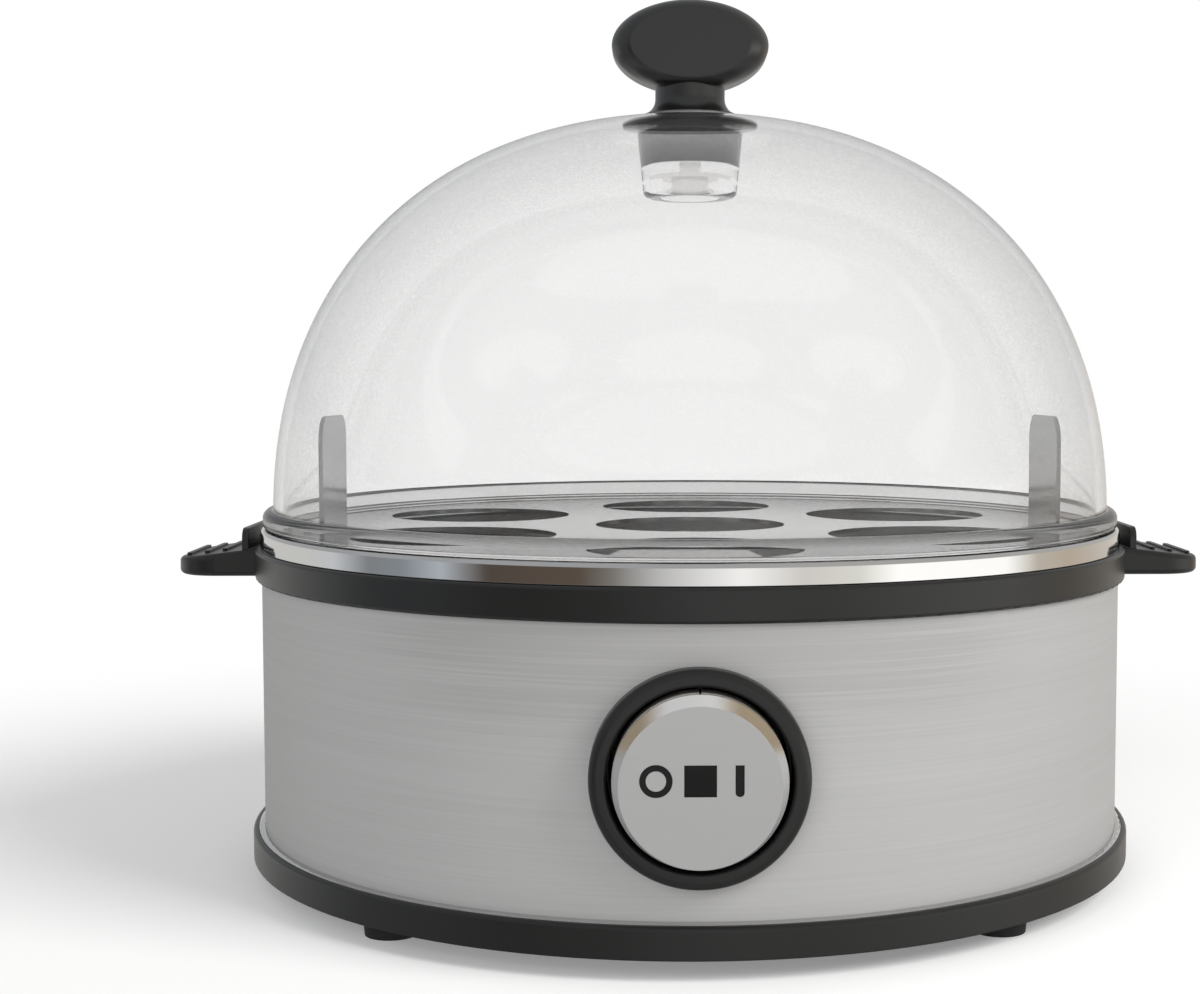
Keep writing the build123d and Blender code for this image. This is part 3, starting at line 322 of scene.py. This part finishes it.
def dull_solid(name, colour, roughness, grain=900.0):
    """Rubber, silicone or ceramic with a fine grain."""
    solid = new_finish(name)
    spots = solid.noise((grain, grain, grain), detail=3.0)
    darker = tuple(0.85 * channel for channel in colour[:3]) + (1.0,)
    shader = solid.surface(
        Specular_IOR_Level=0.3,
        Base_Color=solid.blend(spots, darker, colour), Roughness=spots * 0.12 + (roughness - 0.06),
        Normal=solid.dents(spots, 0.2, 0.00003))
    return solid.end(shader)


zinc_steel = plain_metal("Zinc plated steel", (0.50, 0.50, 0.49, 1.0), 0.35)
cast_aluminium = plain_metal("Cast aluminium", (0.62, 0.62, 0.63, 1.0), 0.45, grain=420.0)
element_sheath = plain_metal("Element sheath", (0.26, 0.24, 0.22, 1.0), 0.5)
button_ring = dull_solid("Satin ring", (0.42, 0.40, 0.37, 1.0), 0.3)
brass = plain_metal("Brass", (0.70, 0.48, 0.20, 1.0), 0.3)
foot_rubber = dull_solid("Foot rubber", (0.022, 0.022, 0.022, 1.0), 0.75)
seal_silicone = dull_solid("Grey silicone", (0.24, 0.24, 0.235, 1.0), 0.55)
ceramic = dull_solid("Ceramic", (0.68, 0.64, 0.56, 1.0), 0.6, grain=500.0)
wire_sleeve = dull_solid("Wire sleeve", (0.45, 0.43, 0.40, 1.0), 0.5)
mark_fill = dull_solid("Mark fill", (0.008, 0.008, 0.008, 1.0), 0.6)
window_plastic = moulded_plastic("Smoked window", tone=0.006, roughness=0.2, depth=0.000002, shine=0.14)
lamp_glass = dull_solid("Lamp glass", (0.55, 0.30, 0.18, 1.0), 0.12)
print("inner finishes:", len(bpy.data.materials))

# %% [markdown]
# The button's face is satin. The upper half of the bevel round it is polished and painted bright, a crescent
# over the face that is warm at both ends: a painted highlight with painted warm reflections. The piece's own
# normal tells the face from the bevel and the height tells the upper half, so one finish can hold both.

# %% Button face
def button_steel():
    """Satin face, and above it a polished crescent painted bright, with painted warm reflections at its ends.
    """
    steel = new_finish("Button steel")
    normal = steel.node("ShaderNodeTexCoord", output="Normal")
    facing = steel.node("ShaderNodeSeparateXYZ", {}, {"Vector": normal}, output="Y") * -1.0
    height = steel.along("Z") - dial_height
    # Painted highlight: only the bevel's upper half is made bright, and its ends get a painted warm
    # reflection.
    painted_crescent = height.between(0.0035, 0.0065) * (1.0 - facing.between(0.96, 0.995))
    scratches = steel.noise((60.0, 60.0, 3200.0), detail=3.0)
    brushed = steel.blend(scratches, grey(0.42, 0.006), grey(0.45, 0.004))
    warm_painted_ends = (steel.along("X") + 0.0015).calculate("ABSOLUTE").between(0.003, 0.008)
    painted_crescent_colour = steel.blend(warm_painted_ends, grey(0.92, 0.02), (0.48, 0.39, 0.28, 1.0))
    satin_roughness = scratches * 0.12 + 0.38
    polished_roughness = 0.14
    shader = steel.surface(
        Base_Color=steel.blend(painted_crescent, brushed, painted_crescent_colour), Metallic=painted_crescent * 0.4 + 0.5,
        Roughness=(polished_roughness - satin_roughness) * painted_crescent + satin_roughness,
        Normal=steel.dents(scratches, 0.06, 0.00001))
    return steel.end(shader)


cap_steel = button_steel()
print("finish:", cap_steel.name)

# %% [markdown]
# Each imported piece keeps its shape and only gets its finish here. Its material slots are filled, the mesh is
# left as it is.

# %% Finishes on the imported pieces
finish_of_nodes = {
    black_plastic: ("bottom_casing", "upper_ring", "switch_bezel", "switch_housing", "switch_nut",
                    "rocker_body", "contact_plunger"),
    knob_plastic: ("lid_knob",),
    shell_steel: ("body_shell",),
    cap_steel: ("rocker_cap",),
    rim_steel: ("base_trim_ring", "heating_bowl"),
    tray_steel: ("egg_tray",),
    painted_dark_lug_steel: ("tray_lugs",),
    bright_steel: ("knob_screw", "knob_washer"),
    button_ring: ("rocker_trim",),
    zinc_steel: ("bowl_tabs", "casing_screws", "thermostat_bracket", "heater_screws", "fuse_clip",
                 "heat_shield", "shield_screws", "plunger_spring", "terminal_screws", "thermal_fuse",
                 "thermostat"),
    cast_aluminium: ("heater_plate",),
    element_sheath: ("heating_element",),
    brass: ("element_pins", "switch_terminals", "seesaw_contact"),
    foot_rubber: ("rubber_feet", "cord_gland"),
    seal_silicone: ("bowl_gasket", "knob_seal"),
    ceramic: ("element_insulators", "terminal_block"),
    window_plastic: ("indicator_lens",),
    mark_fill: ("mark_inlays",),
    lamp_glass: ("indicator_lamp",),
    wire_sleeve: ("internal_wires",),
    lid_plastic: ("lid_dome",),
}


def give_finish(piece, finish):
    """One material on the whole piece."""
    piece.data.materials.clear()
    piece.data.materials.append(finish)


for finish, names in finish_of_nodes.items():
    for name in names:
        give_finish(nodes[name], finish)
finished = [name for names in finish_of_nodes.values() for name in names]
print("packed pieces with a finish:", len(finished), "of", len(nodes))

# %% [markdown]
# A clear wall shows every facet of its mesh, twice, and a polished one mirrors it. The lid and the bowl are
# therefore turned again from their outlines, with far more and far smoother steps. A lathe in Geometry Nodes
# does it: it takes an outline of points, lays a grid with one row for each point, bends the grid round the
# axis and merges the seam.

# %% A lathe in Geometry Nodes
def lathe_tree():
    """Turns an outline in the XZ plane about Z."""
    tree = bpy.data.node_groups.new("Lathe", "GeometryNodeTree")
    interface = tree.interface
    interface.new_socket("Outline", in_out="INPUT", socket_type="NodeSocketGeometry")
    interface.new_socket("Steps", in_out="INPUT", socket_type="NodeSocketInt")
    interface.new_socket("Finish", in_out="INPUT", socket_type="NodeSocketMaterial")
    interface.new_socket("Piece", in_out="OUTPUT", socket_type="NodeSocketGeometry")
    links = tree.links

    def add(kind, settings=None, inputs=None):
        made = tree.nodes.new(kind)
        for name, value in (settings or {}).items():
            setattr(made, name, value)
        for name, value in (inputs or {}).items():
            if isinstance(value, bpy.types.NodeSocket):
                links.new(value, made.inputs[name])
            else:
                made.inputs[name].default_value = value
        return made

    def maths(operation, first, second=0.0):
        return add("ShaderNodeMath", {"operation": operation}, {0: first, 1: second}).outputs[0]

    given = tree.nodes.new("NodeGroupInput").outputs
    count = add("GeometryNodeAttributeDomainSize", {"component": "MESH"}, {"Geometry": given["Outline"]})
    rows = maths("ADD", given["Steps"], 1.0)
    grid = add("GeometryNodeMeshGrid", {}, {"Vertices X": count.outputs["Point Count"], "Vertices Y": rows})
    index = add("GeometryNodeInputIndex").outputs[0]
    row = maths("FLOOR", maths("DIVIDE", maths("ADD", index, 0.5), rows))
    step = maths("SUBTRACT", index, maths("MULTIPLY", row, rows))
    position = add("GeometryNodeInputPosition").outputs[0]
    sample = add("GeometryNodeSampleIndex", {"data_type": "FLOAT_VECTOR", "domain": "POINT"},
                 {"Geometry": given["Outline"], "Value": position, "Index": row})
    point = add("ShaderNodeSeparateXYZ", {}, {0: sample.outputs[0]}).outputs
    angle = maths("MULTIPLY", maths("DIVIDE", step, given["Steps"]), 2 * math.pi)
    turned = add("ShaderNodeCombineXYZ", {}, {
        "X": maths("MULTIPLY", point["X"], maths("COSINE", angle)),
        "Y": maths("MULTIPLY", point["X"], maths("SINE", angle)),
        "Z": point["Z"]})
    bent = add("GeometryNodeSetPosition", {},
               {"Geometry": grid.outputs["Mesh"], "Position": turned.outputs[0]})
    merged = add("GeometryNodeMergeByDistance", {}, {"Geometry": bent.outputs[0], "Distance": 0.000002})
    smooth = add("GeometryNodeSetShadeSmooth", {}, {"Geometry": merged.outputs[0]})
    real = add("GeometryNodeRealizeInstances", {}, {"Geometry": smooth.outputs[0]})
    painted = add("GeometryNodeSetMaterial", {}, {"Geometry": real.outputs[0], "Material": given["Finish"]})
    links.new(painted.outputs[0], tree.nodes.new("NodeGroupOutput").inputs[0])
    return tree


lathe = lathe_tree()
print("lathe nodes:", len(lathe.nodes))

# %% [markdown]
# An outline is a list of corners, each with the radius of its rounding. Real edges are never quite sharp,
# and the light that a small rounding catches is what makes an edge look real. The lathe's result becomes a
# plain mesh, its faces are turned outwards, and edges sharper than a set angle stay crisp.

# %% Outlines with rounded corners
def held(outline, hold=0.06):
    """The closed outline with a point beside each end of its long runs, which keeps them flat."""
    points = []
    for i, here in enumerate(outline):
        after = outline[(i + 1) % len(outline)]
        points.append(here)
        if (after - here).length > 8 * hold:
            step = (after - here).normalized() * hold
            points += [here + step, after - step]
    return points


def rounded(corners, steps=6):
    """Points of a closed outline of (radius, height, rounding) corners, all in millimetres."""
    points = []
    for i, (r, z, rounding) in enumerate(corners):
        here = Vector((r, z))
        if not rounding:
            points.append(here)
            continue
        back = (Vector(corners[i - 1][:2]) - here).normalized()
        ahead = (Vector(corners[(i + 1) % len(corners)][:2]) - here).normalized()
        half = back.angle(ahead) / 2
        centre = here + (back + ahead).normalized() * (rounding / math.sin(half))
        start = here + back * (rounding / math.tan(half)) - centre
        end = here + ahead * (rounding / math.tan(half)) - centre
        for step in range(steps + 1):
            points.append(centre + start.slerp(end, step / steps).normalized() * rounding)
    return held(points)


def plain_mesh(piece):
    """Turns a piece with modifiers into a plain mesh, faces outwards and no edges left on the axis."""
    evaluated = piece.evaluated_get(bpy.context.evaluated_depsgraph_get())
    mesh = bpy.data.meshes.new_from_object(evaluated)
    piece.modifiers.clear()
    piece.data = mesh
    shape = bmesh.new()
    shape.from_mesh(mesh)
    on_axis = [edge for edge in shape.edges if not edge.link_faces]
    bmesh.ops.delete(shape, geom=on_axis, context="EDGES")
    bmesh.ops.recalc_face_normals(shape, faces=shape.faces)
    shape.to_mesh(mesh)
    shape.free()
    return piece


def turned_piece(name, outline, finish, crisp, steps=256):
    """A closed outline in millimetres, turned by the lathe."""
    mesh = bpy.data.meshes.new(name)
    ring = [(r * MM, 0.0, z * MM) for r, z in outline + outline[:1]]
    mesh.from_pydata(ring, [(i, i + 1) for i in range(len(ring) - 1)], [])
    piece = bpy.data.objects.new(name, mesh)
    bpy.context.scene.collection.objects.link(piece)
    modifier = piece.modifiers.new("Lathe", "NODES")
    modifier.node_group = lathe
    sockets = {item.name: item.identifier for item in lathe.interface.items_tree if item.in_out == "INPUT"}
    modifier[sockets["Steps"]] = steps
    modifier[sockets["Finish"]] = finish
    plain_mesh(piece)
    piece.data.set_sharp_from_angle(angle=math.radians(crisp))
    print(name, "faces:", len(piece.data.polygons))
    return piece


# %% [markdown]
# The dome isn't half of a ball. Its outline is a superellipse, a circle whose powers are a little above two,
# which stands steeper at the foot and flatter at the top. The outer and the inner face follow the same
# formula, a wall apart, and the hollow boss for the knob hangs under the top. The boss grips the knob's stem
# and the washer: clear plastic that touches them magnifies them, while a gap of air would hide them behind a
# mirror. All lengths are in millimetres.

# %% The lid
lid_wall = 1.8
dome_foot_radius = 79.8
dome_rise = 77.8
dome_exponent = 2.24
skirt_drop = 2.3
skirt_radius = 79.5
flange_height = 3.2
boss_radius = 10.0
boss_taper = 1.0
boss_depth = 15.0
boss_recess_radius = 5.58
web_depth = 8.4
web_thickness = 2.0
stem_hole = 6.86
screw_hole = 2.1
lid_seat = lid_high.z / MM
lid_foot = lid_low.z / MM + skirt_drop
flange_radius = lid_high.x / MM


def dome_radius(height, radius, rise):
    """Radius of the dome's face at a height above its foot."""
    share = min(1.0, max(0.0, height / rise))
    return radius * (1 - share ** dome_exponent) ** (1 / dome_exponent)


def dome_arc(radius, rise, low, high, steps=72):
    """Points of the dome's face from one height to another, closer together near the top."""
    first = math.asin((low / rise) ** (dome_exponent / 2))
    last = math.asin((high / rise) ** (dome_exponent / 2))
    points = []
    for i in range(steps + 1):
        t = first + (last - first) * i / steps
        points.append(Vector((radius * math.cos(t) ** (2 / dome_exponent),
                              lid_foot + rise * math.sin(t) ** (2 / dome_exponent))))
    return points


def lid_outline():
    """Once round the wall: outer face, flange, skirt, inner face, boss."""
    inner_radius = dome_foot_radius - lid_wall
    inner_rise = dome_rise - lid_wall
    boss_root = inner_rise
    while dome_radius(boss_root, inner_radius, inner_rise) < boss_radius:
        boss_root -= 0.02
    outer = dome_arc(dome_foot_radius, dome_rise, flange_height, lid_seat - lid_foot)
    inner = dome_arc(inner_radius, inner_rise, 0.0, boss_root)
    bottom = lid_seat - boss_depth
    web_top = lid_seat - web_depth
    flange_and_skirt = rounded([
        (outer[0].x, lid_foot + flange_height, 0.0),
        (flange_radius, lid_foot + flange_height, 1.5),
        (flange_radius, lid_foot, 0.5),
        (skirt_radius, lid_foot, 0.2),
        (skirt_radius, lid_foot - skirt_drop, 0.3),
        (inner_radius, lid_foot - skirt_drop, 0.3),
        (inner[0].x, inner[0].y, 0.0)])[1:-3]
    boss = rounded([
        (inner[-1].x, inner[-1].y, 0.0),
        (boss_radius - boss_taper, bottom, 1.6),
        (boss_recess_radius, bottom, 0.5),
        (boss_recess_radius, web_top - web_thickness, 0.4),
        (screw_hole, web_top - web_thickness, 0.0),
        (screw_hole, web_top, 0.0),
        (stem_hole, web_top, 0.3),
        (stem_hole, lid_seat, 0.2),
        (outer[-1].x, outer[-1].y, 0.0)])[1:-3]
    return outer[::-1] + flange_and_skirt + inner + boss


lid = turned_piece("clear_lid", lid_outline(), lid_plastic, crisp=50.0)
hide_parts("lid_dome")
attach(lid, "lid")

# %% [markdown]
# The bowl is pressed from one sheet. Its rim stands upright and turns in at the top, and the ledge inside
# carries the tray. Turned from an outline it gets the soft edges that a press leaves.

# %% The bowl
sheet = 0.8
rim_width = 2.3
rim_top = bowl_high.z / MM
rim_radius = bowl_high.x / MM
rim_foot = 61.5
tray_gap = 0.25
ledge_top = tray_low.z / MM - tray_gap
ledge_width = 4.9
bowl_bottom = bowl_low.z / MM
slope_run = 10.0


def bowl_outline():
    """Once round the sheet, from the foot of the rim outside."""
    inner_wall = rim_radius - rim_width
    ledge_inside = inner_wall - ledge_width
    floor_radius = ledge_inside - slope_run
    floor_top = bowl_bottom + sheet
    fall = ledge_top - floor_top
    shift = sheet * math.tan(math.atan2(fall, slope_run) / 2)
    return rounded([
        (rim_radius, rim_foot, 0.2),
        (rim_radius, rim_top, 0.9),
        (inner_wall, rim_top, 0.7),
        (inner_wall, ledge_top, 0.5),
        (ledge_inside, ledge_top, 1.5),
        (floor_radius, floor_top, 3.0),
        (0.0, floor_top, 0.0),
        (0.0, bowl_bottom, 0.0),
        (floor_radius + shift, bowl_bottom, 3.6),
        (ledge_inside + shift, ledge_top - sheet, 0.8),
        (inner_wall + sheet, ledge_top - sheet, 0.2),
        (inner_wall + sheet, rim_top - sheet, 0.2),
        (rim_radius - sheet, rim_top - sheet, 0.2),
        (rim_radius - sheet, rim_foot, 0.1)])


bowl = turned_piece("pressed_bowl", bowl_outline(), rim_steel, crisp=35.0)
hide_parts("heating_bowl")
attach(bowl, "base")

# %% [markdown]
# The floor is plain and pale. It keeps the shadow, and far from the object it turns into plain white light,
# so that no horizon shows. Shiny surfaces look through it, into the studio below the horizon.

# %% Floor
def floor_finish():
    """White floor that still shows a shadow."""
    pale = new_finish("Pale floor")
    matt = pale.node("ShaderNodeBsdfDiffuse", {}, {"Color": grey(0.88)})
    glow = pale.node("ShaderNodeEmission", {}, {"Color": grey(1.0), "Strength": 0.22})
    white = pale.node("ShaderNodeEmission", {}, {"Color": grey(1.0), "Strength": 1.0})
    lit = pale.node("ShaderNodeAddShader", {}, {0: matt, 1: glow})
    away = pale.node("ShaderNodeVectorMath", {"operation": "LENGTH"}, {0: pale.place()}, output="Value")
    seen = (pale.seen_by("Camera") + pale.seen_by("Transmission")).clamped()
    near = pale.mixed(seen, matt, lit)
    whole = pale.mixed(seen * away.between(0.13, 0.30), near, white)
    open_air = pale.node("ShaderNodeBsdfTransparent", {}, {"Color": grey(1.0)})
    return pale.end(pale.mixed(pale.seen_by("Glossy"), whole, open_air))


floor_side = 6.0
floor_mesh = bpy.data.meshes.new("floor")
half = floor_side / 2
floor_corners = [(-half, -half, 0), (half, -half, 0), (half, half, 0), (-half, half, 0)]
floor_mesh.from_pydata(floor_corners, [], [(0, 1, 2, 3)])
floor = bpy.data.objects.new("floor", floor_mesh)
floor.data.materials.append(floor_finish())
bpy.context.scene.collection.objects.link(floor)
print("floor side in m:", floor_side)

# %% [markdown]
# Polished metal shows what stands round it, so that has to be worth showing. The camera, and what looks
# through the lid, sees plain white. Shiny surfaces see a studio: an even ceiling, an even ground, and
# between them a ring of tones that changes with direction, with a wide bright panel on the right and dark
# warm panels on the left. Each row holds an angle in degrees, with the camera at nothing, and a tone.

# %% World
studio_ring = [
    (-180, (0.66, 0.65, 0.63)), (-119, (0.82, 0.82, 0.79)), (-104, (0.80, 0.83, 0.86)),
    (-90, (0.32, 0.34, 0.36)), (-78, (0.34, 0.38, 0.42)), (-66, (0.62, 0.68, 0.73)),
    (-59, (0.34, 0.34, 0.35)), (-53, (0.12, 0.095, 0.08)), (-28, (0.15, 0.115, 0.09)),
    (-20, (0.29, 0.27, 0.25)), (-8, (0.78, 0.78, 0.78)), (12, (1.42, 1.42, 1.40)),
    (27, (0.98, 0.94, 0.90)), (42, (1.10, 1.10, 1.02)), (52, (1.65, 1.65, 1.62)),
    (86, (1.60, 1.60, 1.56)), (98, (0.76, 0.69, 0.60)), (112, (0.70, 0.60, 0.48)),
    (132, (0.74, 0.68, 0.60)), (180, (0.80, 0.78, 0.76))]


def studio_world():
    """White behind the object, a studio in its reflections."""
    studio = Finish(bpy.data.worlds.new("Studio"))
    way = studio.node("ShaderNodeTexCoord", output="Generated")
    x, y, z = (studio.node("ShaderNodeSeparateXYZ", {}, {"Vector": way}, output=axis) for axis in "XYZ")
    turn = x.calculate("ARCTAN2", y * -1.0) / (2 * math.pi) + 0.5
    ring = studio.node("ShaderNodeValToRGB", {}, {"Fac": turn})
    stops = ring.output.node.color_ramp.elements
    brightest = max(max(tone) for angle, tone in studio_ring)
    for i, (angle, tone) in enumerate(studio_ring):
        stop = stops[i] if i < 2 else stops.new(1.0)
        stop.position = angle / 360 + 0.5
        stop.color = tuple(channel / brightest for channel in tone) + (1.0,)
    rightwards = x.between(-0.6, 0.8)
    ceiling = studio.blend(rightwards, (0.30, 0.31, 0.32, 1.0), (0.36, 0.36, 0.35, 1.0))
    ground = studio.blend(rightwards, (0.26, 0.26, 0.26, 1.0), (0.30, 0.30, 0.29, 1.0))
    upwards = studio.blend(z.between(0.02, 0.14), ring, ceiling)
    around = studio.blend(z.between(-0.18, -0.30), upwards, ground)
    mirrored = studio.node("ShaderNodeBackground", {}, {"Color": around, "Strength": brightest})
    soft = studio.node("ShaderNodeBackground", {}, {"Color": grey(1.0), "Strength": 0.39})
    white = studio.node("ShaderNodeBackground", {}, {"Color": grey(1.0), "Strength": 1.0})
    seen = (studio.seen_by("Camera") + studio.seen_by("Transmission")).clamped()
    unseen = studio.mixed(studio.seen_by("Glossy"), soft, mirrored)
    return studio.end(studio.mixed(seen, unseen, white), "ShaderNodeOutputWorld")


bpy.context.scene.world = studio_world()
print("world:", bpy.context.scene.world.name)

# %% [markdown]
# Two large soft lamps are enough. The main one stands high on the right, which sends the soft shadow to the
# left, and a weaker one in front, a little to the left, keeps the front of the shell readable. Their square
# shapes would show in the clear lid, so shiny and clear surfaces see only the studio and not the lamps.

# %% Lamps
lamp_aim_height = 0.07


def soft_lamp(name, place, power, side, colour):
    """A square lamp that looks at the middle of the body."""
    light = bpy.data.lights.new(name, "AREA")
    light.shape = "SQUARE"
    light.size = side
    light.energy = power
    light.color = colour
    lamp = bpy.data.objects.new(name, light)
    lamp.location = place
    aim = Vector((0.0, 0.0, lamp_aim_height)) - Vector(place)
    lamp.rotation_euler = aim.to_track_quat("-Z", "Y").to_euler()
    lamp.visible_glossy = False
    lamp.visible_transmission = False
    bpy.context.scene.collection.objects.link(lamp)
    return lamp


main_lamp = soft_lamp("main_lamp", (0.94, -0.60, 0.84), 13.6, 0.65, (1.0, 0.99, 0.975))
front_lamp = soft_lamp("front_lamp", (-0.45, -1.20, 0.45), 6.2, 0.9, (0.98, 0.99, 1.0))
print("lamps:", main_lamp.name, front_lamp.name)

# %% [markdown]
# The camera stands where the photographer stood: the horizon and the curves of the rings give its height,
# the ellipses give its distance, and the body's place beside the middle gives the shift.

# %% Camera
camera_distance = 377.2 * MM
camera_height = 95.2 * MM
camera_azimuth = math.radians(-1.06)
camera_tilt = math.radians(3.83)
camera_data = bpy.data.cameras.new("camera")
camera_data.lens = 57.95
camera_data.sensor_width = 36.0
camera_data.shift_x = -0.075
camera_data.clip_start = 0.01
camera = bpy.data.objects.new("camera", camera_data)
camera.location = (camera_distance * math.sin(camera_azimuth), -camera_distance * math.cos(camera_azimuth),
                   camera_height)
camera.rotation_euler = (math.pi / 2 - camera_tilt, 0.0, camera_azimuth)
bpy.context.scene.collection.objects.link(camera)
bpy.context.scene.camera = camera
bpy.context.scene.view_settings.view_transform = "Standard"
print("camera at mm:", [round(value / MM, 1) for value in camera.location])
